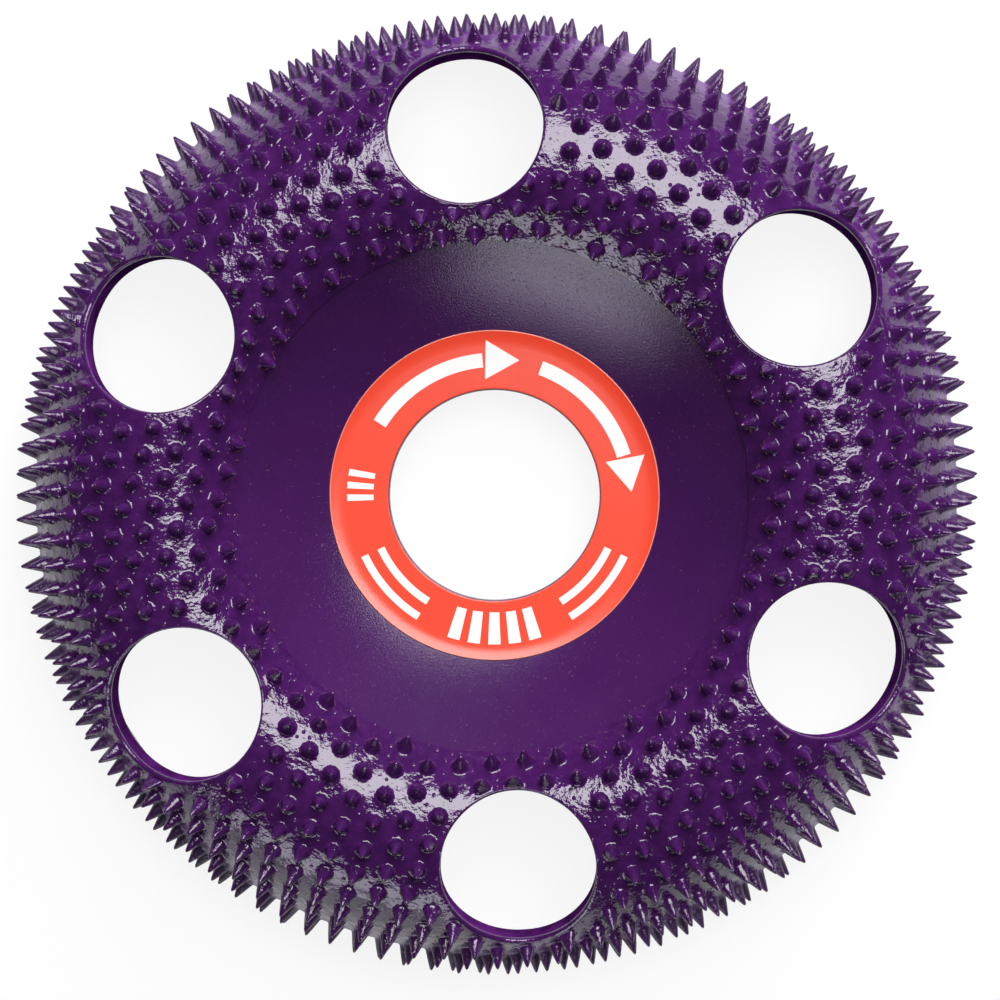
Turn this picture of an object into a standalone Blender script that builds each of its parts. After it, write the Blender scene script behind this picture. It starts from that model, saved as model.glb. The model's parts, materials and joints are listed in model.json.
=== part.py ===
"""Angle grinder carving disc: a pressed steel disc whose rounded ring carries a hard coat with cone teeth.

Units are metres and +Z is the working side. The origin is on the disc's axis, on the plane that the
rim stands on.
"""

import math

import bmesh
import bpy
from mathutils import Matrix, Vector, geometry

# Steel disc: hub, dished wall, rounded ring and rim
BORE_DIAMETER = 0.02223
STEEL_THICKNESS = 0.0015
CREST_RADIUS = 0.0349
DISH_DEPTH = 0.0106
INNER_ARC = 0.0112
OUTER_ARC = 0.0134
WALL_ANGLE = math.radians(41.0)
HUB_FILLET = 0.0030
RIM_SKIRT = 0.0017

# Six windows through the ring
WINDOW_COUNT = 6
WINDOW_DIAMETER = 0.0161
WINDOW_RIM_WALL = 0.0019
WINDOW_START = math.radians(34.1)
WINDOW_LIP = 0.0003

# Hard coat over the ring
FIT_GAP = 0.0003
COAT_THICKNESS = 0.0004
COAT_INNER_RUN = 0.0098
COAT_RIM_MARGIN = 0.0003

# Teeth, set out in slanting rows on a flat sheet that is then wrapped over the ring
TOOTH_HEIGHT = 0.0023
TOOTH_BASE_DIAMETER = 0.0019
TOOTH_SIDES = 5
TOOTH_PITCH = 0.00333
ROW_SPACING = 0.00266
ROW_SHIFT = 0.00133
ROW_ANGLE = math.radians(5.5)
ROW_ORIGIN = (0.00081, -0.00016)
TOOTH_EDGE_MARGIN = 0.0003
TOOTH_WINDOW_MARGIN = 0.00025

# Paper label on the hub
LABEL_DIAMETER = 0.0349
LABEL_THICKNESS = 0.0002

# Facets of the round shapes
TURN_STEPS = 40
ARC_STEP = math.radians(15.0)
CUT_STEPS = 28
CUT_OVERRUN = 0.004
SHARP_ANGLE = math.radians(35.0)

CREST_HEIGHT = RIM_SKIRT + OUTER_ARC
WINDOW_PITCH_RADIUS = CREST_RADIUS + OUTER_ARC - WINDOW_RIM_WALL - WINDOW_DIAMETER / 2
HUB_FRONT = CREST_HEIGHT - DISH_DEPTH
COAT_STANDOFF = FIT_GAP + COAT_THICKNESS
INNER_FACE_ARC = INNER_ARC + COAT_STANDOFF
OUTER_FACE_ARC = OUTER_ARC + COAT_STANDOFF
WALL_RUN = -INNER_FACE_ARC * WALL_ANGLE
RIM_RUN = OUTER_FACE_ARC * math.pi / 2
COAT_RIM_RUN = RIM_RUN + RIM_SKIRT - COAT_RIM_MARGIN


def ring_point(run, lift):
    """Radius, height and lean of the ring at a run along the coat's face from the crest.

    Lift is the distance out from the steel's face. Past the two arcs the section goes on straight, as
    the dished wall on the inside and as the rim's skirt on the outside.
    """
    if run < 0:
        arc = INNER_ARC
        lean = max(run, WALL_RUN) / INNER_FACE_ARC
    else:
        arc = OUTER_ARC
        lean = min(run, RIM_RUN) / OUTER_FACE_ARC
    straight = run - lean * (arc + COAT_STANDOFF)
    radius = CREST_RADIUS + (arc + lift) * math.sin(lean) + straight * math.cos(lean)
    height = CREST_HEIGHT - arc + (arc + lift) * math.cos(lean) - straight * math.sin(lean)
    return radius, height, lean


def spread(start, end, step):
    """Evenly spaced values from start to end, no further apart than the step."""
    count = max(1, math.ceil(abs(end - start) / step - 1e-6))
    return [start + (end - start) * i / count for i in range(count + 1)]


def ring_runs(first, last):
    """Runs at which the ring's section is sampled, with a point where the arcs begin and end."""
    inner = spread(WALL_RUN, 0.0, INNER_FACE_ARC * ARC_STEP)
    outer = spread(0.0, RIM_RUN, OUTER_FACE_ARC * ARC_STEP)
    return [first] + inner + outer[1:] + [last]


def hub_edge_radius():
    """Where the flat of the hub ends, so that fillet, straight wall and inner arc meet smoothly."""
    turn = 1.0 - math.cos(WALL_ANGLE)
    wall = (DISH_DEPTH - (INNER_ARC + HUB_FILLET) * turn) / math.sin(WALL_ANGLE)
    reach = (INNER_ARC + HUB_FILLET) * math.sin(WALL_ANGLE) + wall * math.cos(WALL_ANGLE)
    return CREST_RADIUS - reach


def steel_side(depth):
    """Half of the steel's section, from the bore out to the rim, at a depth below the front face."""
    edge = hub_edge_radius()
    fillet = HUB_FILLET + depth
    points = [(BORE_DIAMETER / 2, HUB_FRONT - depth)]
    for turn in spread(0.0, WALL_ANGLE, ARC_STEP):
        radius = edge + fillet * math.sin(turn)
        points.append((radius, HUB_FRONT + HUB_FILLET - fillet * math.cos(turn)))
    for run in ring_runs(WALL_RUN, RIM_RUN + RIM_SKIRT)[1:]:
        radius, height, lean = ring_point(run, -depth)
        points.append((radius, height))
    return points


def coat_side(lift):
    """Half of the coat's section, from its inner edge out to the rim."""
    points = []
    for run in ring_runs(-COAT_INNER_RUN, COAT_RIM_RUN):
        radius, height, lean = ring_point(run, lift)
        points.append((radius, height))
    return points


def make_collection(name):
    collection = bpy.data.collections.new(name)
    bpy.context.scene.collection.children.link(collection)
    return collection


def make_object(name, mesh, collection):
    obj = bpy.data.objects.new(name, mesh)
    collection.objects.link(obj)
    return obj


def paint(obj, colour, roughness, metallic):
    """Give the object a material of its own."""
    material = bpy.data.materials.new(obj.name + "_finish")
    material.use_nodes = True
    shader = material.node_tree.nodes["Principled BSDF"]
    shader.inputs["Base Color"].default_value = (*colour, 1.0)
    shader.inputs["Roughness"].default_value = roughness
    shader.inputs["Metallic"].default_value = metallic
    obj.data.materials.append(material)


def turned(name, section, collection):
    """A closed section, given as (radius, height) points, turned round the disc's axis."""
    mesh = bpy.data.meshes.new(name)
    points = [(radius, 0.0, height) for radius, height in section]
    edges = [(i, (i + 1) % len(points)) for i in range(len(points))]
    mesh.from_pydata(points, edges, [])
    obj = make_object(name, mesh, collection)
    screw = obj.modifiers.new("Turn", 'SCREW')
    screw.axis = 'Z'
    screw.angle = math.tau
    screw.steps = TURN_STEPS
    screw.render_steps = TURN_STEPS
    screw.use_merge_vertices = True
    screw.merge_threshold = 0.00001
    screw.use_smooth_shade = True
    return obj


def as_tool(obj):
    obj.hide_render = True
    obj.display_type = 'WIRE'
    return obj


def window_axes():
    """Angle and centre of each window."""
    for i in range(WINDOW_COUNT):
        angle = WINDOW_START + math.tau * i / WINDOW_COUNT
        yield angle, WINDOW_PITCH_RADIUS * Vector((math.cos(angle), math.sin(angle)))


def window_cutter(name, diameter, collection):
    """Round bars along the axis, one for each window."""
    length = CREST_HEIGHT + COAT_STANDOFF + TOOTH_HEIGHT + 2 * CUT_OVERRUN
    bm = bmesh.new()
    for angle, centre in window_axes():
        place = Matrix.Translation((centre.x, centre.y, length / 2 - CUT_OVERRUN))
        turn = Matrix.Rotation(angle, 4, 'Z')
        bmesh.ops.create_cone(
            bm, cap_ends=True, segments=CUT_STEPS,
            radius1=diameter / 2, radius2=diameter / 2, depth=length, matrix=place @ turn,
        )
    mesh = bpy.data.meshes.new(name)
    bm.to_mesh(mesh)
    bm.free()
    return as_tool(make_object(name, mesh, collection))


def combine(obj, tool, operation):
    boolean = obj.modifiers.new(tool.name, 'BOOLEAN')
    boolean.operation = operation
    boolean.solver = 'EXACT'
    boolean.object = tool


def clear_of_windows(run, bearing):
    """Whether a tooth at this place stands on the coat and not over a window."""
    radius, height, lean = ring_point(run, COAT_STANDOFF)
    spot = radius * Vector((math.cos(bearing), math.sin(bearing)))
    reach = WINDOW_DIAMETER / 2 + WINDOW_LIP + TOOTH_WINDOW_MARGIN
    return all((spot - centre).length > reach for angle, centre in window_axes())


def tooth_spots():
    """Run from the crest and bearing of every tooth, from rows laid out on a flat sheet.

    A tooth keeps its bearing when the sheet is wrapped over the ring, and its distance from the middle
    of the sheet becomes its run over the ring.
    """
    along = Vector((math.cos(ROW_ANGLE), math.sin(ROW_ANGLE)))
    across = Vector((along.y, -along.x))
    inset = TOOTH_BASE_DIAMETER / 2 + TOOTH_EDGE_MARGIN
    first = -COAT_INNER_RUN + inset
    last = COAT_RIM_RUN - inset
    reach = CREST_RADIUS + last
    rows = math.ceil(reach / ROW_SPACING) + 1
    places = math.ceil((reach + rows * ROW_SHIFT) / TOOTH_PITCH) + 1
    for row in range(-rows, rows + 1):
        for place in range(-places, places + 1):
            slide = place * TOOTH_PITCH - row * ROW_SHIFT
            spot = Vector(ROW_ORIGIN) + along * slide + across * (row * ROW_SPACING)
            run = spot.length - CREST_RADIUS
            if first <= run <= last:
                yield run, math.atan2(spot.y, spot.x)


def flat_point(run, bearing):
    """Place on the flat sheet of a point on the ring."""
    return (CREST_RADIUS + run) * Vector((math.cos(bearing), math.sin(bearing)))


def wrapped_point(flat, lift):
    """Place on the ring of a point on the flat sheet."""
    radius, height, lean = ring_point(flat.length - CREST_RADIUS, lift)
    bearing = math.atan2(flat.y, flat.x)
    return Vector((radius * math.cos(bearing), radius * math.sin(bearing), height))


def tooth_base(run, bearing):
    """Corners of a tooth's base on the flat sheet, round once they are wrapped."""
    radius, height, lean = ring_point(run, COAT_STANDOFF)
    corners = []
    for i in range(TOOTH_SIDES):
        turn = math.tau * i / TOOTH_SIDES
        outward = TOOTH_BASE_DIAMETER / 2 * math.cos(turn)
        sideways = TOOTH_BASE_DIAMETER / 2 * math.sin(turn)
        corners.append(flat_point(run + outward, bearing + sideways / radius))
    return corners


def edge_circle(run):
    """One edge of the flat sheet, with a corner at every step of the turned shapes."""
    return [flat_point(run, math.tau * i / TURN_STEPS) for i in range(TURN_STEPS)]


def toothed_face(bm):
    """The coat's outer face: the sheet between the teeth wrapped over the ring, with each base drawn up."""
    spots = list(tooth_spots())
    flat = []
    loops = []
    for outline in [edge_circle(-COAT_INNER_RUN), edge_circle(COAT_RIM_RUN)] + [tooth_base(*s) for s in spots]:
        loops.append(list(range(len(flat), len(flat) + len(outline))))
        flat.extend(outline)
    edges = [(loop[i - 1], loop[i]) for loop in loops for i in range(len(loop))]
    middle = set(loops[0])
    bases = loops[2:]
    owner = {corner: i for i, base in enumerate(bases) for corner in base}
    points, _, sheet, origins, _, _ = geometry.delaunay_2d_cdt(flat, edges, [], 0, 1e-9)
    source = [origin[0] for origin in origins]
    verts = [bm.verts.new(wrapped_point(flat[i], COAT_STANDOFF)) for i in range(len(flat))]
    for face in sheet:
        corners = [source[i] for i in face]
        within_middle = all(corner in middle for corner in corners)
        within_base = len({owner.get(corner, -1 - corner) for corner in corners}) == 1
        if not within_middle and not within_base:
            bm.faces.new([verts[i] for i in corners])
    raised = []
    for (run, bearing), base in zip(spots, bases):
        face = bm.faces.new([verts[i] for i in base])
        if clear_of_windows(run, bearing):
            raised.append(face)
    bm.normal_update()
    bmesh.ops.poke(bm, faces=raised, offset=TOOTH_HEIGHT)


def make_coat(name, collection):
    """The toothed face with the coat's plain back and edges turned to meet it."""
    bm = bmesh.new()
    toothed_face(bm)
    rim, inner = coat_side(COAT_STANDOFF)[-1], coat_side(COAT_STANDOFF)[0]
    section = [rim] + coat_side(FIT_GAP)[::-1] + [inner]
    verts = [bm.verts.new((radius, 0.0, height)) for radius, height in section]
    edges = [bm.edges.new(pair) for pair in zip(verts, verts[1:])]
    bmesh.ops.spin(
        bm, geom=verts + edges, axis=(0.0, 0.0, 1.0), cent=(0.0, 0.0, 0.0),
        angle=math.tau, steps=TURN_STEPS, use_merge=True,
    )
    bmesh.ops.remove_doubles(bm, verts=bm.verts[:], dist=0.000002)
    bmesh.ops.recalc_face_normals(bm, faces=bm.faces[:])
    mesh = bpy.data.meshes.new(name)
    bm.to_mesh(mesh)
    bm.free()
    return make_object(name, mesh, collection)


def main():
    for obj in list(bpy.data.objects):
        bpy.data.objects.remove(obj, do_unlink=True)
    parts = make_collection("Angle grinder carving disc")
    tools = make_collection("Cutters")

    steel_windows = window_cutter("window_bars", WINDOW_DIAMETER, tools)
    coat_windows = window_cutter("coat_window_bars", WINDOW_DIAMETER + 2 * WINDOW_LIP, tools)

    steel = turned("steel_disc", steel_side(0.0) + steel_side(STEEL_THICKNESS)[::-1], parts)
    combine(steel, steel_windows, 'DIFFERENCE')
    paint(steel, (0.055, 0.010, 0.093), 0.35, 0.3)

    coat = make_coat("tooth_coat", parts)
    combine(coat, coat_windows, 'DIFFERENCE')
    paint(coat, (0.060, 0.012, 0.100), 0.22, 0.2)

    label_low = HUB_FRONT + FIT_GAP
    label_top = label_low + LABEL_THICKNESS
    label = turned("center_label", [
        (BORE_DIAMETER / 2, label_top),
        (LABEL_DIAMETER / 2, label_top),
        (LABEL_DIAMETER / 2, label_low),
        (BORE_DIAMETER / 2, label_low),
    ], parts)
    paint(label, (0.87, 0.08, 0.03), 0.45, 0.0)

    coat.data.shade_smooth()
    coat.data.set_sharp_from_angle(angle=SHARP_ANGLE)


main()
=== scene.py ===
"""Angle grinder carving disc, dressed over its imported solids.

Units are metres. The disc turns about Z, +Z is its working side and its rim stands on z = 0.
"""

import json
import math
import random

import bmesh
import bpy
from mathutils import Matrix, Vector, geometry, kdtree, noise

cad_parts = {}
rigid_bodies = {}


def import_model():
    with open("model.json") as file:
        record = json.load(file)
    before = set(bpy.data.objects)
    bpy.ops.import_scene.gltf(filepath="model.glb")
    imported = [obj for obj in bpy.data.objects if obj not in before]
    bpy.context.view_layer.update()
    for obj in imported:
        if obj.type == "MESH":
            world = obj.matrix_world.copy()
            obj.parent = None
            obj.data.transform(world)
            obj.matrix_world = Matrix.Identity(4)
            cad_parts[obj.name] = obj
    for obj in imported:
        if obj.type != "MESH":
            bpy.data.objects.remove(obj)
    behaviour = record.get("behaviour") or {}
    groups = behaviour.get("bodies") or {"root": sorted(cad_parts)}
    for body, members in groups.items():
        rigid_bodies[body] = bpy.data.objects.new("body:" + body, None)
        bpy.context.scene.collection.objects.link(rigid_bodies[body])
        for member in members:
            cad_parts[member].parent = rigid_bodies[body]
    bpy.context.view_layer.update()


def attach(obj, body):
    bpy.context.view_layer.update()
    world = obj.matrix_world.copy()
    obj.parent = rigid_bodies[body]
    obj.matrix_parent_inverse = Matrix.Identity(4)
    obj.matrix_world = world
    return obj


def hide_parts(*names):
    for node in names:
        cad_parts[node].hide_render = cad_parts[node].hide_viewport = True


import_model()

# Pressed steel body
BORE_RADIUS = 0.011115
STEEL_THICKNESS = 0.0015
CREST_RADIUS = 0.0349
DISH_DEPTH = 0.0106
INNER_ARC = 0.0112
OUTER_ARC = 0.0134
WALL_ANGLE = math.radians(41.0)
RIM_SKIRT = 0.0017
EDGE_ROUND = 0.00025
EDGE_EASE = EDGE_ROUND * 0.3
CREST_HEIGHT = RIM_SKIRT + OUTER_ARC
HUB_FRONT = CREST_HEIGHT - DISH_DEPTH
HUB_BACK = HUB_FRONT - STEEL_THICKNESS
HUB_FIRST_RING = BORE_RADIUS + 0.0015

# Foot of the dished wall: a tight fillet out of the hub, then a slow hollow up to the full slope
HUB_FILLET = 0.0030
FILLET_TURN = math.radians(28.0)
WALL_HOLLOW = 0.040
FOOT_RISE = (
    HUB_FILLET
    - (HUB_FILLET - WALL_HOLLOW) * math.cos(FILLET_TURN)
    - WALL_HOLLOW * math.cos(WALL_ANGLE)
)
FOOT_REACH = (
    (HUB_FILLET - WALL_HOLLOW) * math.sin(FILLET_TURN)
    + WALL_HOLLOW * math.sin(WALL_ANGLE)
)
WALL_RISE = DISH_DEPTH - FOOT_RISE - INNER_ARC * (1.0 - math.cos(WALL_ANGLE))
HUB_EDGE = (
    CREST_RADIUS
    - INNER_ARC * math.sin(WALL_ANGLE)
    - WALL_RISE / math.tan(WALL_ANGLE)
    - FOOT_REACH
)

# Windows through the ring, with rounded lips and thin paint down their walls
WINDOW_COUNT = 6
WINDOW_RADIUS = 0.00805
WINDOW_RIM_WALL = 0.0019
WINDOW_PITCH = CREST_RADIUS + OUTER_ARC - WINDOW_RIM_WALL - WINDOW_RADIUS
WINDOW_START = math.radians(34.1)
WINDOW_STEPS = 72
WINDOW_BAR_LENGTH = 0.05
WINDOW_BAR_MIDDLE = 0.01
STEEL_CLEARANCE = 0.00004
STEEL_WALL_ZONE = WINDOW_RADIUS + 0.0001
LIP_INNER_ROUND = 0.00025
LIP_OUTER_ROUND = 0.00036
LIP_STEPS = 6
LIP_REACH = 0.0006
LIP_ZONE = WINDOW_RADIUS + 0.003
WALL_LEAN = 0.0005
WALL_PAINT_RINGS = (
    (0.0, WALL_LEAN, -0.00012),
    (0.00004, WALL_LEAN, 0.00002),
    (0.00016, 0.0, 0.00004),
)

# Hard coat over the ring
COAT_LIFT = 0.0007
COAT_BACK = -0.00003
COAT_EDGE_LIFT = 0.00028
COAT_TAPER = 0.0070
COAT_RIM_MARGIN = 0.0004
INNER_FACE_ARC = INNER_ARC + COAT_LIFT
OUTER_FACE_ARC = OUTER_ARC + COAT_LIFT
WALL_RUN = -INNER_FACE_ARC * WALL_ANGLE
RIM_RUN = OUTER_FACE_ARC * math.pi / 2
COAT_RIM_RUN = RIM_RUN + RIM_SKIRT - COAT_RIM_MARGIN
COAT_RIM_FALL = ((0.00012, 0.00056), (0.0002, 0.0003))
COAT_INNER_RUN = -0.00960
COAT_INNER_FALL = ((0.00005, 0.00022), (0.00011, 0.00010), (0.00015, -0.00004))
COAT_INNER_WAVER = ((0.00022, 9.0), (0.00012, 31.0))
SWELL_HEIGHT = 0.00003
SWELLS_PER_METRE = 620.0
RIPPLES_PER_METRE = 1350.0
FILL_SPACING = 0.00078
FILL_MARGIN = 0.00032
FILL_FIRST_RUN = -0.0108

# Cone teeth in slanting rows
TOOTH_HEIGHT = 0.00226
TOOTH_FOOT = 0.00122
TOOTH_SIDES = 10
TOOTH_PROFILE = (
    (0.00112, 0.00001),
    (0.00100, 0.00005),
    (0.00090, 0.00014),
    (0.00082, 0.00034),
    (0.00049, 0.00130),
    (0.00017, 0.00210),
)
TOOTH_PITCH = 0.00333
ROW_SPACING = 0.00266
ROW_SHIFT = 0.00133
ROW_ANGLE = math.radians(5.5)
ROW_ORIGIN = Vector((0.00081, -0.00016))
FIRST_TOOTH_RUN = -0.00855
LAST_TOOTH_RUN = RIM_RUN + RIM_SKIRT - 0.00155
EDGE_TOOTH_RUN = COAT_INNER_RUN + 0.0022
WINDOW_KEEP_OFF = WINDOW_RADIUS + 0.00055
TOOTH_LIP_MARGIN = 0.00014
FOOT_LIP_MARGIN = 0.00006
FOOT_EDGE_MARGIN = 0.00006
FOOT_RIM_MARGIN = 0.0001
TOOTH_LEAN = 0.02
LEAST_FOOT = 0.95
LEAST_GROWTH = 0.955
TOOTH_SEED = 23

# Paper label on the hub and the marks printed on it, with bearings in degrees
LABEL_RADIUS = 0.01745
LABEL_BORE = BORE_RADIUS + 0.00012
LABEL_TOP = HUB_FRONT + 0.00034
LABEL_LOW = HUB_FRONT + 0.00001
LABEL_EDGE_ROUND = 0.00008
LABEL_BEND = 0.0052
LABEL_STEP = 0.0004
INK_HEIGHT = 0.00002
INK_STEP = math.radians(2.0)
INK_CUTS = 3
ARROW_BAND = (0.01355, 0.01505)
ARROW_SPANS = ((95.0, 148.0), (17.0, 70.0))
ARROW_HEAD_RADIUS = 0.0143
ARROW_HEAD_SIZE = 0.0024
ARROW_HEAD_LEAD = 6.0
LINE_BANDS = ((0.01475, 0.01555), (0.01285, 0.01365))
LINE_SPANS = ((205.0, 238.0), (302.0, 335.0))
WIDE_BAR_BAND = (0.0124, 0.0158)
NARROW_BAR_BAND = (0.0128, 0.0156)

# Facets of the round shapes
TURN_STEPS = 240
SECTION_STEP = math.radians(4.0)
HOLLOW_STEP = SECTION_STEP / 4
COAT_EDGE_STEPS = 288
COAT_RIM_STEPS = 216
CRISP_ANGLE = math.radians(38.0)
SAME_PLACE = 0.000002
SLIVER = 0.00002

# Colours of the paint, the label and the ink, among them two lighter purples that are painted fill
# light
DEEP_PURPLE = (0.042, 0.0060, 0.072, 1.0)
PURPLE = (0.056, 0.0085, 0.093, 1.0)
# A lighter purple that is painted fill light in the shaded window walls and at the coat's inner edge
WALL_PAINTED_FILL_PURPLE = (0.120, 0.0180, 0.185, 1.0)
# A lighter purple painted low on the rim as painted fill light, where the rim stands in shade
RIM_PAINTED_FILL_PURPLE = (0.150, 0.0280, 0.250, 1.0)
HUB_PURPLE = (0.051, 0.0080, 0.086, 1.0)
HUB_SHADE = (0.045, 0.0068, 0.077, 1.0)
BARE_TIP = (0.420, 0.260, 0.180, 1.0)
LABEL_ORANGE = (0.920, 0.072, 0.034, 1.0)
LABEL_DEEP = (0.870, 0.064, 0.029, 1.0)
LABEL_PALE_EDGE = (0.900, 0.420, 0.320, 1.0)
INK_WHITE = (0.930, 0.925, 0.915, 1.0)
INK_THIN = (0.900, 0.840, 0.815, 1.0)

# Studio
FLOOR_HEIGHT = -0.00005
FLOOR_REACH = 4.0
FLOOR_GLOW = 0.88
FLOOR_PALE = (0.90, 0.90, 0.90, 1.0)
FLOOR_SHADE = (0.86, 0.86, 0.86, 1.0)
SKY_LOW = (0.60, 0.60, 0.62, 1.0)
SKY_HIGH = (0.03, 0.03, 0.033, 1.0)
CAMERA_PLACE = Vector((0.0106, 0.0069, 0.355))
CAMERA_TARGET = Vector((0.0006, -0.0005, 0.005))
CAMERA_LENS = 119.3
UPWARD = (0.0, 0.0, 1.0)
DOWNWARD = (0.0, 0.0, -1.0)
PICTURE_UP = (0.0, 1.0, 0.0)


def eased(share):
    """A share from nought to one that starts and ends gently."""
    return share * share * (3 - 2 * share)


def spread(start, end, step):
    """Even values from start to end, no further apart than the step."""
    count = max(1, math.ceil(abs(end - start) / step - 1e-6))
    return [start + (end - start) * i / count for i in range(count + 1)]


def sides(steps):
    """Directions in the plan, evenly all round."""
    for i in range(steps):
        turn = math.tau * i / steps
        yield Vector((math.cos(turn), math.sin(turn)))


def ring_point(run, lift):
    """Radius, height and lean of the ring at a run over the coat's face from the crest."""
    if run < 0:
        arc = INNER_ARC
        lean = max(run, WALL_RUN) / INNER_FACE_ARC
    else:
        arc = OUTER_ARC
        lean = min(run, RIM_RUN) / OUTER_FACE_ARC
    straight = run - lean * (arc + COAT_LIFT)
    radius = CREST_RADIUS + (arc + lift) * math.sin(lean) + straight * math.cos(lean)
    height = CREST_HEIGHT - arc + (arc + lift) * math.cos(lean) - straight * math.sin(lean)
    return radius, height, lean


def flat_point(run, bearing):
    """Place on the flat sheet that the coat is laid out on."""
    return (CREST_RADIUS + run) * Vector((math.cos(bearing), math.sin(bearing)))


def wrapped_point(flat, lift):
    """Place on the ring of a point of the flat sheet."""
    radius, height = ring_point(flat.length - CREST_RADIUS, lift)[:2]
    bearing = math.atan2(flat.y, flat.x)
    return Vector((radius * math.cos(bearing), radius * math.sin(bearing), height))


def coat_point(flat):
    """Place on the coat's face, which swells a little and thins out to its inner edge."""
    smooth = wrapped_point(flat, COAT_LIFT)
    swell = noise.noise(smooth * SWELLS_PER_METRE) + 0.5 * noise.noise(smooth * RIPPLES_PER_METRE)
    share = (flat.length - CREST_RADIUS - COAT_INNER_RUN) / COAT_TAPER
    share = min(max(share, 0.0), 1.0)
    lift = COAT_EDGE_LIFT + (COAT_LIFT - COAT_EDGE_LIFT) * eased(share)
    return wrapped_point(flat, lift + SWELL_HEIGHT * swell)


def outward(flat):
    """Direction straight out of the ring."""
    lean = ring_point(flat.length - CREST_RADIUS, COAT_LIFT)[2]
    bearing = math.atan2(flat.y, flat.x)
    side = math.sin(lean)
    return Vector((side * math.cos(bearing), side * math.sin(bearing), math.cos(lean)))


def flat_below(plan):
    """Place on the flat sheet of the coat's face over a point of the plan."""
    offset = plan.length - CREST_RADIUS
    arc = INNER_FACE_ARC if offset < 0 else OUTER_FACE_ARC
    run = arc * math.asin(max(-1.0, min(1.0, offset / arc)))
    return flat_point(run, math.atan2(plan.y, plan.x))


def window_centres():
    """Place in the plan of each window's axis."""
    for i in range(WINDOW_COUNT):
        angle = WINDOW_START + math.tau * i / WINDOW_COUNT
        yield WINDOW_PITCH * Vector((math.cos(angle), math.sin(angle)))


WINDOWS = list(window_centres())


def lip_slope(centre, side):
    """How steeply the coat's face falls away from a window's wall, as an angle."""
    corner = centre + side * (WINDOW_RADIUS + LIP_REACH / 2)
    offset = corner.length - CREST_RADIUS
    arc = INNER_FACE_ARC if offset < 0 else OUTER_FACE_ARC
    fall = -offset / math.sqrt(arc * arc - offset * offset)
    return math.atan(fall * corner.normalized().dot(side))


def rim_share(centre, side):
    """How far one side of a window lies towards the rim, from nought to one."""
    return eased(max(0.0, centre.normalized().dot(side)))


def lip_round(centre, side):
    """Rounding of a window's lip, fuller on the side towards the rim."""
    return LIP_INNER_ROUND + (LIP_OUTER_ROUND - LIP_INNER_ROUND) * rim_share(centre, side)


def lip_tangent(centre, side):
    """How far a window's rounded lip reaches along the coat's face and down the wall."""
    return lip_round(centre, side) / math.tan((math.pi / 2 + lip_slope(centre, side)) / 2)


def lip_start(centre, side):
    """Distance from a window's axis at which its rounded lip begins."""
    return WINDOW_RADIUS + lip_tangent(centre, side) * math.cos(lip_slope(centre, side))


def keep_off_windows(flat, margin):
    """The point itself, or its nearest place outside the lip of a window."""
    plan = wrapped_point(flat, COAT_LIFT).to_2d()
    for centre in WINDOWS:
        away = plan - centre
        if away.length < LIP_ZONE:
            least = lip_start(centre, away.normalized()) + margin
            if away.length < least:
                return flat_below(centre + away.normalized() * least)
    return flat


def tooth_spots():
    """Flat place of every tooth, from straight rows that are wrapped over the ring."""
    along = Vector((math.cos(ROW_ANGLE), math.sin(ROW_ANGLE)))
    across = Vector((along.y, -along.x))
    reach = CREST_RADIUS + LAST_TOOTH_RUN
    rows = math.ceil(reach / ROW_SPACING) + 1
    places = math.ceil((reach + rows * ROW_SHIFT) / TOOTH_PITCH) + 1
    for row in range(-rows, rows + 1):
        for place in range(-places, places + 1):
            slide = place * TOOTH_PITCH - row * ROW_SHIFT
            spot = ROW_ORIGIN + along * slide + across * (row * ROW_SPACING)
            if not FIRST_TOOTH_RUN <= spot.length - CREST_RADIUS <= LAST_TOOTH_RUN:
                continue
            plan = wrapped_point(spot, COAT_LIFT).to_2d()
            if all((plan - centre).length > WINDOW_KEEP_OFF for centre in WINDOWS):
                yield keep_off_windows(spot, TOOTH_LIP_MARGIN)


def foot_outline(spot, size):
    """Foot of a tooth on the flat sheet, round once it is wrapped and cut short at a window."""
    run = spot.length - CREST_RADIUS
    bearing = math.atan2(spot.y, spot.x)
    radius = ring_point(run, COAT_LIFT)[0]
    corners = []
    for i in range(TOOTH_SIDES):
        turn = math.tau * i / TOOTH_SIDES
        corner = flat_point(
            min(run + size * math.cos(turn), COAT_RIM_RUN - FOOT_RIM_MARGIN),
            bearing + size * math.sin(turn) / radius,
        )
        corners.append(keep_off_windows(corner, FOOT_LIP_MARGIN))
    return corners


def coat_edge_outline(spots):
    """Ragged inner edge of the coat, which swells out round the innermost teeth."""
    inner = [spot for spot in spots if spot.length - CREST_RADIUS < EDGE_TOOTH_RUN]
    runs = []
    for i in range(COAT_EDGE_STEPS):
        bearing = math.tau * i / COAT_EDGE_STEPS
        side = Vector((math.cos(bearing), math.sin(bearing), 0.0))
        waver = sum(size * noise.noise(side * waves) for size, waves in COAT_INNER_WAVER)
        run = COAT_INNER_RUN + waver
        for spot in inner:
            turn = (math.atan2(spot.y, spot.x) - bearing + math.pi) % math.tau - math.pi
            sideways = turn * spot.length
            reach = (TOOTH_FOOT + FOOT_EDGE_MARGIN) ** 2 - sideways ** 2
            if reach > 0:
                run = min(run, spot.length - CREST_RADIUS - math.sqrt(reach))
        runs.append(run)
    outline = []
    for i in range(COAT_EDGE_STEPS):
        mean = (runs[i - 1] + 2 * runs[i] + runs[(i + 1) % COAT_EDGE_STEPS]) / 4
        outline.append(flat_point(min(runs[i], mean), math.tau * i / COAT_EDGE_STEPS))
    return outline


def window_outline(centre):
    """Where the lip of a window begins, on the flat sheet."""
    return [flat_below(centre + side * lip_start(centre, side)) for side in sides(WINDOW_STEPS)]


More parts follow.
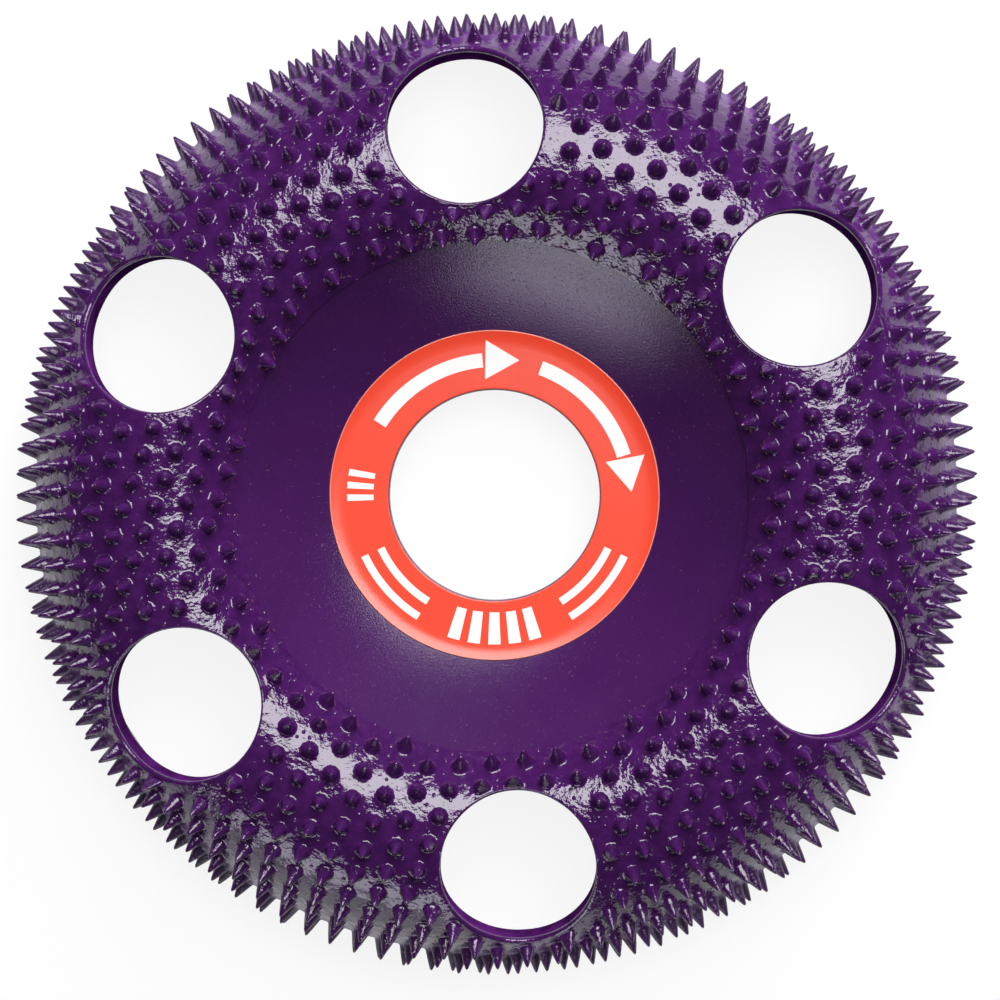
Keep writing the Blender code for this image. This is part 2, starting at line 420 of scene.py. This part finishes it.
def fill_spots(spots, edge):
    """Points between the teeth that let the coat's face follow the ring and its swells."""
    tree = kdtree.KDTree(len(spots))
    for i, spot in enumerate(spots):
        tree.insert(wrapped_point(spot, COAT_LIFT), i)
    tree.balance()
    reach = CREST_RADIUS + COAT_RIM_RUN - FILL_MARGIN
    row_gap = FILL_SPACING * math.sqrt(3) / 2
    rows = math.ceil(reach / row_gap)
    places = math.ceil(reach / FILL_SPACING)
    for row in range(-rows, rows + 1):
        for place in range(-places, places + 1):
            flat = Vector(((place + 0.5 * (row % 2)) * FILL_SPACING, row * row_gap))
            if not CREST_RADIUS + FILL_FIRST_RUN < flat.length < reach:
                continue
            step = math.atan2(flat.y, flat.x) % math.tau / math.tau * COAT_EDGE_STEPS
            nearby = max(edge[(int(step) + i) % COAT_EDGE_STEPS].length for i in (-1, 0, 1, 2))
            if flat.length < nearby + FILL_MARGIN:
                continue
            if tree.find(wrapped_point(flat, COAT_LIFT))[2] < TOOTH_FOOT + FILL_MARGIN:
                continue
            if keep_off_windows(flat, FILL_MARGIN) is flat:
                yield flat


def within(outline, spot):
    """Whether a point of the flat sheet lies inside a closed outline."""
    inside = False
    for start, end in zip(outline, outline[1:] + outline[:1]):
        if (start.y > spot.y) != (end.y > spot.y):
            if spot.x < start.x + (spot.y - start.y) * (end.x - start.x) / (end.y - start.y):
                inside = not inside
    return inside


def sheet_triangles(points, loops, holes):
    """Triangles of the flat sheet between its outlines, as numbers of its points.

    Loops number the points of each outline. A triangle is left out where all its corners are on one
    hole and its middle lies inside.
    """
    lines = [(loop[i - 1], loop[i]) for loop in loops for i in range(len(loop))]
    owner = {corner: hole for hole in holes for corner in hole}
    triangles, sources = geometry.delaunay_2d_cdt(points, lines, [], 0, 1e-9)[2:4]
    for triangle in triangles:
        corners = [sources[i][0] for i in triangle]
        owners = {owner.get(corner) for corner in corners}
        hole = owners.pop()
        middle = (points[corners[0]] + points[corners[1]] + points[corners[2]]) / 3
        if owners or hole is None or not within([points[i] for i in hole], middle):
            yield corners


def closed_edges(verts):
    """Edges of a ring of vertices, in order."""
    return [
        next(edge for edge in vert.link_edges if edge.other_vert(vert) is after)
        for vert, after in zip(verts, verts[1:] + verts[:1])
    ]


def drawn_ring(bm, verts, places):
    """Draw a ring of edges out to new places, and give the new ring."""
    made = bmesh.ops.extrude_edge_only(bm, edges=closed_edges(verts))["geom"]
    fresh = {part for part in made if isinstance(part, bmesh.types.BMVert)}
    ring = [
        next(edge.other_vert(vert) for edge in vert.link_edges if edge.other_vert(vert) in fresh)
        for vert in verts
    ]
    for vert, place in zip(ring, places):
        vert.co = place
    return ring


def mark_bare_wall(bm, verts):
    """Mark vertices for the thin paint of a wall."""
    wall = bm.verts.layers.float["bare_wall"]
    for vert in verts:
        vert[wall] = 1.0


def fall_coat_edge(bm, ring, outline):
    """Let the coat's inner edge fall to the steel in thin paint, and give its last ring."""
    for edge in closed_edges(ring):
        edge.smooth = False
    mark_bare_wall(bm, ring)
    for run, lift in COAT_INNER_FALL:
        places = [wrapped_point(spot * (1 - run / spot.length), lift) for spot in outline]
        ring = drawn_ring(bm, ring, places)
        mark_bare_wall(bm, ring)
    return ring


def fall_coat_rim(bm, ring, outline):
    """Let the coat's lower edge fall to the steel's rim, and give its last ring."""
    for run, lift in COAT_RIM_FALL:
        places = [wrapped_point(spot * (1 + run / spot.length), lift) for spot in outline]
        ring = drawn_ring(bm, ring, places)
    return ring


def lip_places(centre, step):
    """One ring of a window's rounded lip, from the coat's face round into the hole."""
    places = []
    for side in sides(WINDOW_STEPS):
        slope = lip_slope(centre, side)
        size = lip_round(centre, side)
        tangent = lip_tangent(centre, side)
        start = centre + side * lip_start(centre, side)
        top = wrapped_point(flat_below(start), COAT_LIFT).z - tangent * math.sin(slope)
        first = math.pi / 2 + slope
        bend = first + (math.pi - first) * step / LIP_STEPS
        place = centre + side * (WINDOW_RADIUS + size + size * math.cos(bend))
        places.append(Vector((place.x, place.y, top - tangent + size * math.sin(bend))))
    return places


def wall_places(centre, out, lean, below):
    """One ring of the paint that runs down a window's wall, near the back of the sheet."""
    places = []
    for side in sides(WINDOW_STEPS):
        place = centre + side * (WINDOW_RADIUS + out - lean * rim_share(centre, side))
        offset = place.length - CREST_RADIUS
        arc = INNER_ARC if offset < 0 else OUTER_ARC
        behind = CREST_HEIGHT - arc + math.sqrt((arc - STEEL_THICKNESS) ** 2 - offset ** 2)
        places.append(Vector((place.x, place.y, behind - below)))
    return places


def round_window_lip(bm, ring, centre):
    """Round a window's lip, run thin paint down its wall, and give the last ring."""
    for step in range(1, LIP_STEPS + 1):
        ring = drawn_ring(bm, ring, lip_places(centre, step))
    mark_bare_wall(bm, ring)
    for out, lean, below in WALL_PAINT_RINGS:
        ring = drawn_ring(bm, ring, wall_places(centre, out, lean, below))
        mark_bare_wall(bm, ring)
    return ring


def copy_to_back(bm, verts, points):
    """Copy the coat's face to its plain back, and give each vertex's twin there."""
    back = bmesh.ops.duplicate(bm, geom=bm.faces[:])
    twins = back["vert_map"]
    for vert, point in zip(verts, points):
        twins[vert].co = wrapped_point(point, COAT_BACK)
    faces = [part for part in back["geom"] if isinstance(part, bmesh.types.BMFace)]
    bmesh.ops.reverse_faces(bm, faces=faces)
    return twins


def grow_teeth(bm, caps, spots, dice):
    """Draw every tooth out of its foot, ring by ring, up to its tip."""
    tooth = bm.faces.layers.int["tooth"]
    rise = bm.verts.layers.float["rise"]
    builds = []
    for spot in spots:
        lean = Vector((dice.gauss(0, 1), dice.gauss(0, 1), dice.gauss(0, 1))) * TOOTH_LEAN
        aim = (outward(spot) + lean).normalized()
        builds.append((coat_point(spot), aim, dice.uniform(LEAST_GROWTH, 1.0)))
    below, radius_below = 0.0, TOOTH_FOOT
    for radius, height in TOOTH_PROFILE:
        caps = bmesh.ops.extrude_discrete_faces(bm, faces=caps)["faces"]
        for cap in caps:
            foot, aim, growth = builds[cap[tooth]]
            for vert in cap.verts:
                arm = vert.co - foot - aim * below * growth
                vert.co = foot + aim * height * growth + arm * (radius / radius_below)
                vert[rise] = height / TOOTH_HEIGHT
        below, radius_below = height, radius
    for tip in bmesh.ops.poke(bm, faces=caps, offset=0.0)["verts"]:
        foot, aim, growth = builds[tip.link_faces[0][tooth]]
        tip.co = foot + aim * TOOTH_HEIGHT * growth
        tip[rise] = 1.0


def make_toothed_coat():
    """The coat's face as one skin with every tooth drawn out of it, closed by a plain back."""
    dice = random.Random(TOOTH_SEED)
    spots = list(tooth_spots())
    edge = coat_edge_outline(spots)
    rim = [flat_point(COAT_RIM_RUN, math.tau * i / COAT_RIM_STEPS) for i in range(COAT_RIM_STEPS)]
    windows = [window_outline(centre) for centre in WINDOWS]
    feet = [foot_outline(spot, TOOTH_FOOT * dice.uniform(LEAST_FOOT, 1.0)) for spot in spots]

    points = []
    loops = []
    for outline in [edge, rim] + windows + feet:
        loops.append(range(len(points), len(points) + len(outline)))
        points.extend(outline)
    points.extend(fill_spots(spots, edge))
    edge_loop, rim_loop, *hole_loops = loops
    window_loops = hole_loops[:WINDOW_COUNT]
    foot_loops = hole_loops[WINDOW_COUNT:]

    bm = bmesh.new()
    bm.verts.layers.float.new("rise")
    bm.verts.layers.float.new("bare_wall")
    tooth = bm.faces.layers.int.new("tooth")
    verts = [bm.verts.new(coat_point(point)) for point in points]
    for corners in sheet_triangles(points, loops, [edge_loop] + hole_loops):
        bm.faces.new([verts[i] for i in corners])
    caps = [bm.faces.new([verts[i] for i in loop]) for loop in foot_loops]
    for i, cap in enumerate(caps):
        cap[tooth] = i
    bm.normal_update()

    twins = copy_to_back(bm, verts, points)
    rings = [[verts[i] for i in loop] for loop in [edge_loop, rim_loop] + window_loops]
    ends = [fall_coat_edge(bm, rings[0], edge), fall_coat_rim(bm, rings[1], rim)]
    ends += [round_window_lip(bm, ring, centre) for ring, centre in zip(rings[2:], WINDOWS)]
    for ring, end in zip(rings, ends):
        behind = [twins[vert] for vert in ring]
        bmesh.ops.bridge_loops(bm, edges=closed_edges(end) + closed_edges(behind))
    grow_teeth(bm, caps, spots, dice)

    bmesh.ops.recalc_face_normals(bm, faces=bm.faces[:])
    wall = bm.verts.layers.float["bare_wall"]
    for face in bm.faces:
        face.material_index = int(all(vert[wall] == 1.0 for vert in face.verts))
    return bm


def steel_side(depth):
    """Half of the steel's section from the bore to the rim, at a depth below its front."""
    points = [(HUB_FIRST_RING, HUB_FRONT - depth)]
    middle = Vector((HUB_EDGE, HUB_FRONT + HUB_FILLET))
    for bend in spread(0.0, FILLET_TURN, SECTION_STEP):
        points.append(middle + (HUB_FILLET + depth) * Vector((math.sin(bend), -math.cos(bend))))
    middle += (WALL_HOLLOW - HUB_FILLET) * Vector((-math.sin(FILLET_TURN), math.cos(FILLET_TURN)))
    for bend in spread(FILLET_TURN, WALL_ANGLE, HOLLOW_STEP)[1:]:
        points.append(middle + (WALL_HOLLOW + depth) * Vector((math.sin(bend), -math.cos(bend))))
    inner = spread(WALL_RUN, 0.0, INNER_FACE_ARC * SECTION_STEP)
    outer = spread(0.0, RIM_RUN, OUTER_FACE_ARC * SECTION_STEP)
    for run in inner + outer[1:]:
        points.append(ring_point(run, -depth)[:2])
    return points


def turned(section):
    """A closed section of (radius, height) points turned once round the disc's axis."""
    bm = bmesh.new()
    verts = [bm.verts.new((radius, 0.0, height)) for radius, height in section]
    edges = [bm.edges.new(pair) for pair in zip(verts, verts[1:] + verts[:1])]
    bmesh.ops.spin(
        bm, geom=verts + edges, axis=(0, 0, 1), cent=(0, 0, 0),
        angle=math.tau, steps=TURN_STEPS, use_merge=True,
    )
    bmesh.ops.remove_doubles(bm, verts=bm.verts[:], dist=SAME_PLACE)
    bmesh.ops.recalc_face_normals(bm, faces=bm.faces[:])
    return bm


def cut_windows(bm):
    """Cut the six round windows straight through a turned body."""
    body = bpy.data.objects.new("body_blank", bpy.data.meshes.new("body_blank"))
    bars = bpy.data.objects.new("window_bars", bpy.data.meshes.new("window_bars"))
    bm.to_mesh(body.data)
    bm.clear()
    for centre in WINDOWS:
        bmesh.ops.create_cone(
            bm, cap_ends=True, segments=WINDOW_STEPS,
            radius1=WINDOW_RADIUS + STEEL_CLEARANCE, radius2=WINDOW_RADIUS + STEEL_CLEARANCE,
            depth=WINDOW_BAR_LENGTH,
            matrix=Matrix.Translation((centre.x, centre.y, WINDOW_BAR_MIDDLE)),
        )
    bm.to_mesh(bars.data)
    bm.clear()
    for obj in (body, bars):
        bpy.context.scene.collection.objects.link(obj)
    cut = body.modifiers.new("windows", 'BOOLEAN')
    cut.operation = 'DIFFERENCE'
    cut.solver = 'EXACT'
    cut.object = bars
    bpy.context.view_layer.update()
    shaped = body.evaluated_get(bpy.context.evaluated_depsgraph_get())
    bm.from_mesh(shaped.to_mesh())
    shaped.to_mesh_clear()
    for obj in (body, bars):
        mesh = obj.data
        bpy.data.objects.remove(obj)
        bpy.data.meshes.remove(mesh)


def keep_edges_crisp(bm):
    """Shade a mesh smoothly except across its sharp corners."""
    for edge in bm.edges:
        edge.smooth = len(edge.link_faces) != 2 or edge.calc_face_angle(0.0) < CRISP_ANGLE


def make_steel_body():
    """The pressed sheet: flat hub with its bore, dished wall, ring with six windows, and rim."""
    bore = [
        (BORE_RADIUS + EDGE_ROUND, HUB_BACK),
        (BORE_RADIUS + EDGE_EASE, HUB_BACK + EDGE_EASE),
        (BORE_RADIUS, HUB_BACK + EDGE_ROUND),
        (BORE_RADIUS, HUB_FRONT - EDGE_ROUND),
        (BORE_RADIUS + EDGE_EASE, HUB_FRONT - EDGE_EASE),
        (BORE_RADIUS + EDGE_ROUND, HUB_FRONT),
    ]
    outer = CREST_RADIUS + OUTER_ARC
    inner = outer - STEEL_THICKNESS
    foot = [
        (outer, EDGE_ROUND),
        (outer - EDGE_EASE, EDGE_EASE),
        (outer - EDGE_ROUND, 0.0),
        (inner + EDGE_ROUND, 0.0),
        (inner + EDGE_EASE, EDGE_EASE),
        (inner, EDGE_ROUND),
    ]
    bm = turned(bore + steel_side(0.0) + foot + steel_side(STEEL_THICKNESS)[::-1])
    cut_windows(bm)
    bmesh.ops.dissolve_degenerate(bm, edges=bm.edges[:], dist=SLIVER)
    strays = [vert for vert in bm.verts if len(vert.link_edges) == 2]
    bmesh.ops.dissolve_verts(bm, verts=strays)
    keep_edges_crisp(bm)
    for face in bm.faces:
        middle = face.calc_center_median().to_2d()
        nearest = min((middle - centre).length for centre in WINDOWS)
        face.material_index = int(nearest < STEEL_WALL_ZONE)
    return bm


def label_rise(radius):
    """How far the label's margin has bent up at a radius, where the hub curves into the wall."""
    out = max(0.0, radius - HUB_EDGE)
    return out * out / (2 * LABEL_BEND)


def make_label_paper():
    """The ring of label stock, bent up with the hub and softly rounded at its cut edges."""
    soft = LABEL_EDGE_ROUND
    ease = soft * 0.3
    face = spread(LABEL_BORE + soft * 1.6, LABEL_RADIUS - soft * 1.6, LABEL_STEP)
    flat = [(LABEL_BORE, LABEL_TOP - soft), (LABEL_BORE + ease, LABEL_TOP - ease)]
    flat += [(radius, LABEL_TOP) for radius in [LABEL_BORE + soft] + face + [LABEL_RADIUS - soft]]
    flat += [(LABEL_RADIUS - ease, LABEL_TOP - ease), (LABEL_RADIUS, LABEL_TOP - soft)]
    flat += [(radius, LABEL_LOW) for radius in spread(LABEL_RADIUS, LABEL_BORE, LABEL_STEP)]
    return turned([(radius, height + label_rise(radius)) for radius, height in flat])


def printed_band(bm, band, start, end):
    """A curved printed bar between two radii, from one bearing to another."""
    first = math.radians(start)
    sweep = math.radians(end - start)
    side = Vector((math.cos(first), math.sin(first), 0.0))
    low = Vector((0.0, 0.0, LABEL_TOP - INK_HEIGHT))
    ends = [bm.verts.new(side * radius + low) for radius in band]
    line = bm.edges.new(ends)
    steps = max(2, math.ceil(abs(sweep) / INK_STEP))
    bmesh.ops.spin(
        bm, geom=ends + [line], axis=(0, 0, 1), cent=(0, 0, 0), angle=sweep, steps=steps,
    )


def printed_bars(bm, band, count, bearing, pitch, width):
    """A row of short bars, evenly spaced about a bearing."""
    for i in range(count):
        middle = bearing + (i - (count - 1) / 2) * pitch
        printed_band(bm, band, middle - width / 2, middle + width / 2)


def printed_arrow(bm, start, end):
    """A curved arrow from the end bearing back to the start, which its head runs ahead of."""
    printed_band(bm, ARROW_BAND, start, end)
    turn = Matrix.Rotation(math.radians(start - ARROW_HEAD_LEAD), 4, 'Z')
    place = turn @ Matrix.Translation((ARROW_HEAD_RADIUS, 0, LABEL_TOP - INK_HEIGHT))
    half_turn = Matrix.Rotation(math.pi, 4, 'Z')
    bmesh.ops.create_circle(
        bm, cap_ends=True, segments=3, radius=ARROW_HEAD_SIZE, matrix=place @ half_turn,
    )


def make_label_print():
    """Turning arrows, double lines and rows of bars, printed on the label."""
    bm = bmesh.new()
    for start, end in ARROW_SPANS:
        printed_arrow(bm, start, end)
    for start, end in LINE_SPANS:
        for band in LINE_BANDS:
            printed_band(bm, band, start, end)
    printed_bars(bm, WIDE_BAR_BAND, count=5, bearing=270.0, pitch=8.0, width=4.8)
    printed_bars(bm, NARROW_BAR_BAND, count=3, bearing=176.0, pitch=5.0, width=2.6)
    bmesh.ops.remove_doubles(bm, verts=bm.verts[:], dist=SAME_PLACE)
    bmesh.ops.subdivide_edges(bm, edges=bm.edges[:], cuts=INK_CUTS, use_grid_fill=True)
    bmesh.ops.recalc_face_normals(bm, faces=bm.faces[:])
    raised = bmesh.ops.extrude_face_region(bm, geom=bm.faces[:])["geom"]
    tops = [part for part in raised if isinstance(part, bmesh.types.BMVert)]
    bmesh.ops.translate(bm, vec=(0, 0, 2 * INK_HEIGHT), verts=tops)
    for vert in bm.verts:
        vert.co.z += label_rise(vert.co.to_2d().length)
    bmesh.ops.recalc_face_normals(bm, faces=bm.faces[:])
    keep_edges_crisp(bm)
    return bm


class Wire:
    """A shader value that can be used in sums."""

    def __init__(self, finish, socket):
        self.finish = finish
        self.socket = socket

    def maths(self, operation, *values):
        return self.finish.node("Math", {"operation": operation}, dict(enumerate(values))).out()

    def __add__(self, other):
        return self.maths('ADD', self, other)

    def __radd__(self, other):
        return self.maths('ADD', other, self)

    def __sub__(self, other):
        return self.maths('SUBTRACT', self, other)

    def __rsub__(self, other):
        return self.maths('SUBTRACT', other, self)

    def __mul__(self, other):
        return self.maths('MULTIPLY', self, other)

    def __rmul__(self, other):
        return self.maths('MULTIPLY', other, self)

    def ramp(self, low, high, start=0.0, end=1.0):
        """The value moved smoothly from one range to another."""
        settings = {"interpolation_type": 'SMOOTHSTEP'}
        sockets = {"Value": self, "From Min": low, "From Max": high, "To Min": start, "To Max": end}
        return self.finish.node("MapRange", settings, sockets).out()


class Node:
    """A shader node whose outputs are wires."""

    def __init__(self, finish, node):
        self.finish = finish
        self.node = node

    def out(self, name=0):
        return Wire(self.finish, self.node.outputs[name])


class Finish:
    """The node tree of one material or of the world."""

    def __init__(self, owner):
        owner.use_nodes = True
        self.owner = owner
        self.tree = owner.node_tree

    def put(self, socket, value):
        """Link a wire to a socket, or set the socket to a plain value."""
        if isinstance(value, Wire):
            self.tree.links.new(value.socket, socket)
        else:
            socket.default_value = value

    def node(self, kind, settings=None, sockets=None):
        """A new node with its settings made first and then its sockets."""
        node = self.tree.nodes.new("ShaderNode" + kind)
        for name, value in (settings or {}).items():
            setattr(node, name, value)
        for name, value in (sockets or {}).items():
            self.put(node.inputs[name], value)
        return Node(self, node)

    def place(self):
        return self.node("TexCoord").out("Object")

    def attribute(self, name):
        return self.node("Attribute", {"attribute_name": name}).out("Fac")

    def part(self, vector, axis):
        """One of a vector's X, Y and Z."""
        return self.node("SeparateXYZ", None, {0: vector}).out(axis)

    def noise(self, place, size, detail=2.0, roughness=0.5):
        """Noise whose blots are about the size given."""
        sockets = {"Vector": place, "Scale": 1.0 / size, "Detail": detail, "Roughness": roughness}
        return self.node("TexNoise", None, sockets).out(0)

    def blend(self, share, first, second):
        """A colour between two others."""
        return self.node("Mix", {"data_type": 'RGBA'}, {0: share, 6: first, 7: second}).out(2)

    def bump(self, height, distance, strength=1.0, normal=None):
        """A normal tilted by a height, over any bump that is there already."""
        sockets = {"Height": height, "Distance": distance, "Strength": strength}
        if normal is not None:
            sockets["Normal"] = normal
        return self.node("Bump", None, sockets).out()

    def surface(self, sockets):
        """Set the material's main shader, and give the material."""
        shader = self.tree.nodes["Principled BSDF"]
        for name, value in sockets.items():
            self.put(shader.inputs[name], value)
        return self.owner


def new_finish(name):
    return Finish(bpy.data.materials.new(name))


def purple_coat():
    """Thick glossy purple over fused grit, with worn tips and drier paint low on the rim, where a
    lighter purple is also painted in as painted fill light.
    """
    finish = new_finish("purple_coat_gloss")
    place = finish.place()
    swells = finish.noise(place, 0.0012, 2.0)
    beads = finish.noise(place, 0.00038, 2.0, 0.55)
    grit = finish.noise(place, 0.00022, 2.0, 0.6)
    rise = finish.attribute("rise")
    wear = rise.ramp(0.93, 1.0) * finish.noise(place, 0.0016, 1.0).ramp(0.52, 0.62)
    # Low on the rim: rougher, drier paint, and the mask of the painted fill light there
    dry_and_painted_fill = 1 - finish.part(place, "Z").ramp(0.004, 0.011)
    spots = finish.node("TexVoronoi", {"feature": 'F1'}, {"Vector": place, "Scale": 1 / 0.0008})
    chosen = finish.part(spots.out("Color"), "X").ramp(0.42, 0.47)
    pimples = (1 - spots.out("Distance").ramp(0.0, 0.30)) * chosen
    colour = finish.blend(swells.ramp(0.3, 0.7), DEEP_PURPLE, PURPLE)
    # Painted fill light: low on the rim the colour goes to a lighter purple, as if the shaded rim were
    # lit more
    colour = finish.blend(dry_and_painted_fill * (1 - rise.ramp(0.0, 0.15)) * 0.7, colour, RIM_PAINTED_FILL_PURPLE)
    colour = finish.blend(wear * 0.6, colour, BARE_TIP)
    lumpy = finish.bump(swells, 0.00013)
    lumpy = finish.bump(beads, 0.000045, normal=lumpy)
    lumpy = finish.bump(pimples, 0.00010, normal=lumpy)
    lumpy = finish.bump(grit * rise.ramp(0.1, 0.5), 0.00004, normal=lumpy)
    return finish.surface({
        "Base Color": colour,
        "Roughness": 0.06 + 0.06 * grit.ramp(0.35, 0.75) + 0.12 * wear + 0.38 * dry_and_painted_fill,
        "Specular IOR Level": 0.8,
        "Normal": lumpy,
    })


def purple_wall_paint():
    """Flat thin paint on the walls of the windows and at the coat's inner edge, its colour drifting
    towards a lighter purple that is painted fill light for the shaded walls.
    """
    finish = new_finish("purple_wall_paint")
    place = finish.place()
    drift = finish.noise(place, 0.0022, 3.0)
    peel = finish.noise(place, 0.0003, 2.0, 0.6)
    return finish.surface({
        # Painted fill light: the colour drifts towards a lighter purple so that the shaded walls don't
        # go dark
        "Base Color": finish.blend(drift.ramp(0.3, 0.7), PURPLE, WALL_PAINTED_FILL_PURPLE),
        "Roughness": 0.62 + 0.16 * peel,
        "Specular IOR Level": 0.0,
        "Normal": finish.bump(peel, 0.00003),
    })


def purple_paint():
    """Satin purple paint on the bare steel, with a fine orange-peel grain and specks of dust."""
    finish = new_finish("purple_paint_satin")
    place = finish.place()
    drift = finish.noise(place, 0.012, 3.0)
    peel = finish.noise(place, 0.00018, 2.0, 0.6)
    dust = finish.noise(place, 0.00035, 1.0).ramp(0.70, 0.76)
    return finish.surface({
        "Base Color": finish.blend(drift.ramp(0.3, 0.7), HUB_SHADE, HUB_PURPLE),
        "Roughness": 0.15 + 0.06 * peel.ramp(0.3, 0.7) + 0.05 * drift,
        "Specular IOR Level": 0.85,
        "Normal": finish.bump(peel + 0.6 * dust, 0.00003),
    })


def label_stock():
    """Orange label stock with a faint fibre, painted paler along its outer edge."""
    finish = new_finish("orange_label_stock")
    place = finish.place()
    fibre = finish.noise(place, 0.0003, 4.0, 0.65)
    cloud = finish.noise(place, 0.004, 2.0)
    plan = finish.node("VectorMath", {"operation": 'MULTIPLY'}, {0: place, 1: (1.0, 1.0, 0.0)}).out()
    radius = finish.node("VectorMath", {"operation": 'LENGTH'}, {0: plan}).out("Value")
    cut = radius.ramp(LABEL_RADIUS - 0.00016, LABEL_RADIUS - 0.00004)
    colour = finish.blend(fibre * 0.5 + cloud * 0.5, LABEL_DEEP, LABEL_ORANGE)
    # The colour goes paler along the label's outer edge
    colour = finish.blend(cut * 0.7, colour, LABEL_PALE_EDGE)
    return finish.surface({
        "Base Color": colour,
        "Roughness": 0.16 + 0.12 * fibre,
        "Specular IOR Level": 0.6,
        "Normal": finish.bump(fibre, 0.00002, 0.4),
    })


def label_ink():
    """White ink that lets a little of the stock through."""
    finish = new_finish("white_label_ink")
    thin = finish.noise(finish.place(), 0.0004, 3.0, 0.6)
    return finish.surface({
        "Base Color": finish.blend(thin.ramp(0.45, 0.75), INK_WHITE, INK_THIN),
        "Roughness": 0.20 + 0.14 * thin,
        "Specular IOR Level": 0.6,
        "Normal": finish.bump(thin, 0.00001, 0.4),
    })


def studio_floor():
    """Pale floor, shown nearly white, that keeps a faint shadow of the disc."""
    finish = new_finish("pale_floor")
    ray = finish.node("LightPath")
    seen = ray.out("Is Camera Ray") + ray.out("Is Glossy Ray") + ray.out("Is Transmission Ray")
    grain = finish.noise(finish.place(), 0.02, 3.0)
    finish.surface({"Base Color": finish.blend(grain, FLOOR_SHADE, FLOOR_PALE), "Roughness": 0.9})
    matt = Node(finish, finish.tree.nodes["Principled BSDF"]).out()
    glow = finish.node("Emission", None, {"Color": (1, 1, 1, 1), "Strength": 1.0}).out()
    shares = {0: seen.ramp(0.0, 1.0, 0.0, FLOOR_GLOW), 1: matt, 2: glow}
    mix = finish.node("MixShader", None, shares).out()
    finish.put(finish.tree.nodes["Material Output"].inputs["Surface"], mix)
    return finish.owner


def add_piece(name, bm, finishes, node):
    """Make a finished mesh one piece of the disc, which stands for a CAD node."""
    mesh = bpy.data.meshes.new(name)
    bm.to_mesh(mesh)
    bm.free()
    mesh.polygons.foreach_set("use_smooth", [True] * len(mesh.polygons))
    for finish in finishes:
        mesh.materials.append(finish)
    obj = bpy.data.objects.new(name, mesh)
    bpy.context.scene.collection.objects.link(obj)
    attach(obj, "root")
    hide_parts(node)


def add_floor():
    """A wide floor just under the rim."""
    bm = bmesh.new()
    place = Matrix.Translation((0, 0, FLOOR_HEIGHT))
    bmesh.ops.create_grid(bm, x_segments=8, y_segments=8, size=FLOOR_REACH, matrix=place)
    mesh = bpy.data.meshes.new("floor")
    bm.to_mesh(mesh)
    bm.free()
    mesh.materials.append(studio_floor())
    obj = bpy.data.objects.new("floor", mesh)
    bpy.context.scene.collection.objects.link(obj)


def looking(place, aim, up):
    """The stance of a lamp or camera at a place that looks along an aim."""
    back = -Vector(aim).normalized()
    right = Vector(up).cross(back).normalized()
    turn = Matrix((right, back.cross(right), back)).transposed()
    return Matrix.Translation(place) @ turn.to_4x4()


def add_lamp(
    name, place, aim, up, width, depth, radiance,
    tint=(1.0, 1.0, 1.0), mirrored=True, washes=True,
):
    """A rounded soft box that looks along an aim, as bright as its radiance.

    A lamp that isn't mirrored makes no highlights, and one that doesn't wash makes nothing else.
    """
    data = bpy.data.lights.new(name, 'AREA')
    data.shape = 'ELLIPSE'
    data.size = width
    data.size_y = depth
    data.color = tint
    data.energy = radiance * math.pi * (math.pi / 4 * width * depth)
    obj = bpy.data.objects.new(name, data)
    obj.visible_glossy = mirrored
    obj.visible_diffuse = washes
    obj.matrix_world = looking(place, aim, up)
    bpy.context.scene.collection.objects.link(obj)


def add_lamps():
    """A wide soft box overhead, a low one that lights the hub's curve, and a wash from the far side."""
    add_lamp("softbox_over", (0.18, 0.40, 0.80), DOWNWARD, PICTURE_UP, 0.80, 0.70, 7.6)
    add_lamp(
        "softbox_low", (-0.23, -0.64, 0.195), (0.23, 0.64, -0.180), UPWARD, 0.66, 0.25, 3.4,
        tint=(0.92, 0.90, 1.0), washes=False,
    )
    add_lamp(
        "wash_back", (0.20, 0.72, 0.34), (-0.20, -0.72, -0.34), UPWARD, 0.50, 0.40, 11.0,
        mirrored=False,
    )


def add_world():
    """Pale at the horizon and darker overhead."""
    world = bpy.data.worlds.new("studio")
    bpy.context.scene.world = world
    finish = Finish(world)
    up = finish.part(finish.node("TexCoord").out("Generated"), "Z")
    background = finish.tree.nodes["Background"]
    finish.put(background.inputs["Color"], finish.blend(up.ramp(0.0, 0.05), SKY_LOW, SKY_HIGH))
    finish.put(background.inputs["Strength"], 1.0)


def add_camera():
    """Over the working side and a little off its axis, as the photograph was taken."""
    data = bpy.data.cameras.new("camera")
    data.lens = CAMERA_LENS
    data.sensor_width = 36.0
    data.clip_start = 0.01
    obj = bpy.data.objects.new("camera", data)
    obj.matrix_world = looking(CAMERA_PLACE, CAMERA_TARGET - CAMERA_PLACE, PICTURE_UP)
    bpy.context.scene.collection.objects.link(obj)
    bpy.context.scene.camera = obj


bpy.context.scene.view_settings.view_transform = 'Standard'
for default in [o for o in bpy.data.objects if o.name in ("Cube", "Light", "Camera")]:
    bpy.data.objects.remove(default)

gloss = purple_coat()
wall_paint = purple_wall_paint()
satin = purple_paint()
add_piece("painted_steel_body", make_steel_body(), [satin, wall_paint], "steel_disc")
add_piece("toothed_coat", make_toothed_coat(), [gloss, wall_paint], "tooth_coat")
add_piece("label_paper", make_label_paper(), [label_stock()], "center_label")
add_piece("label_print", make_label_print(), [label_ink()], "center_label")
add_floor()
add_world()
add_lamps()
add_camera()
